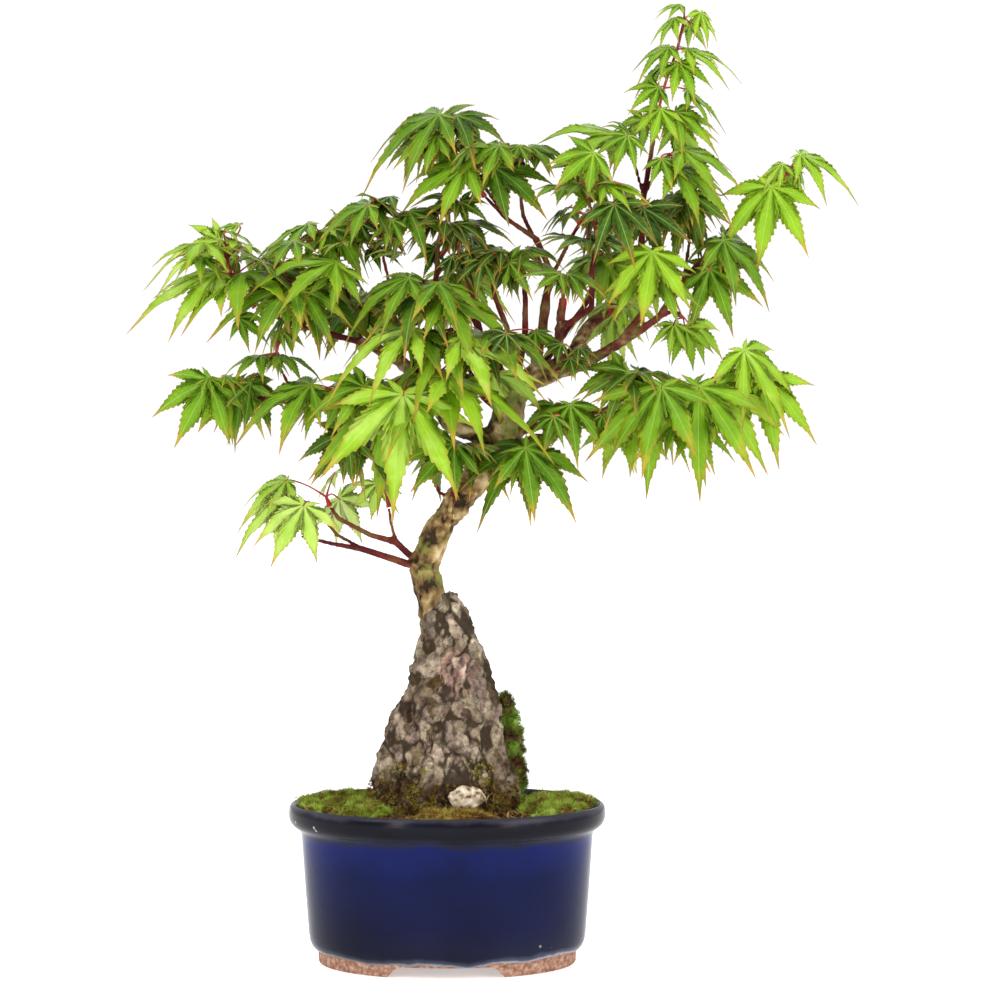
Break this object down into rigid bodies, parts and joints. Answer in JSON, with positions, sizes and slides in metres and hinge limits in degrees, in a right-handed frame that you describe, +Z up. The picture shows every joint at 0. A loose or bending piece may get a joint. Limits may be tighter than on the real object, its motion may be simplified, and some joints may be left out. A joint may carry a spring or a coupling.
{
  "type": "potted bonsai tree",
  "caption": "Maple bonsai with palmate leaves, grown over an upright rock among moss, in an oval glazed pot on a notched foot.",
  "frame": {"origin": "middle of the whole plant's box on the plane that the pot stands on", "axes": "+Z up; the front of the tree faces -Y, and the tall leader stands towards +X"},
  "size_m": [0.36, 0.166, 0.4791],
  "materials": {
    "pot": "gloss cobalt glaze, dark at the rim, bare clay foot",
    "drain_mesh": "matte black netting",
    "soil": "matte loose clay granules and humus",
    "rock": "rough pebbly rock in pink, cream and grey",
    "stone_chip": "pale rough stone",
    "moss": "matte green moss pile",
    "tree": "rough living bark with green algae",
    "leaf": "thin soft leaf, satin"
  },
  "bodies": {
    "root": {"drain_mesh_left": "drain_mesh", "drain_mesh_right": "drain_mesh", "moss_back": "moss", "moss_front": "moss", "moss_left": "moss", "moss_mound": "moss", "moss_right": "moss", "pot": "pot", "rock": "rock", "soil": "soil", "spray_back_left": "leaf", "spray_back_mid": "leaf", "spray_back_right": "leaf", "spray_base_mid": "leaf", "spray_base_right": "leaf", "spray_base_upper": "leaf", "spray_bright_mid": "leaf", "spray_centre": "leaf", "spray_centre_left": "leaf", "spray_dark_left": "leaf", "spray_dark_mid": "leaf", "spray_dark_star": "leaf", "spray_front_left": "leaf", "spray_front_low_right": "leaf", "spray_front_mid": "leaf", "spray_front_right": "leaf", "spray_hang": "leaf", "spray_inner_right": "leaf", "spray_leader": "leaf", "spray_leader_front": "leaf", "spray_leader_left": "leaf", "spray_leader_right": "leaf", "spray_left_big": "leaf", "spray_left_far": "leaf", "spray_left_inner": "leaf", "spray_left_low": "leaf", "spray_left_near": "leaf", "spray_left_stub": "leaf", "spray_low_front": "leaf", "spray_mid_wide": "leaf", "spray_pale_right": "leaf", "spray_right_arch": "leaf", "spray_right_back": "leaf", "spray_right_inner": "leaf", "spray_right_low": "leaf", "spray_right_mid": "leaf", "spray_right_near": "leaf", "spray_right_top": "leaf", "spray_right_up": "leaf", "spray_stars": "leaf", "spray_stars_back": "leaf", "spray_top_left": "leaf", "spray_top_mid": "leaf", "spray_top_right": "leaf", "spray_trunk_front": "leaf", "spray_trunk_right": "leaf", "spray_upper_left": "leaf", "spray_upper_mid": "leaf", "stone_chip": "stone_chip", "tree": "tree"}
  },
  "joints": []
}
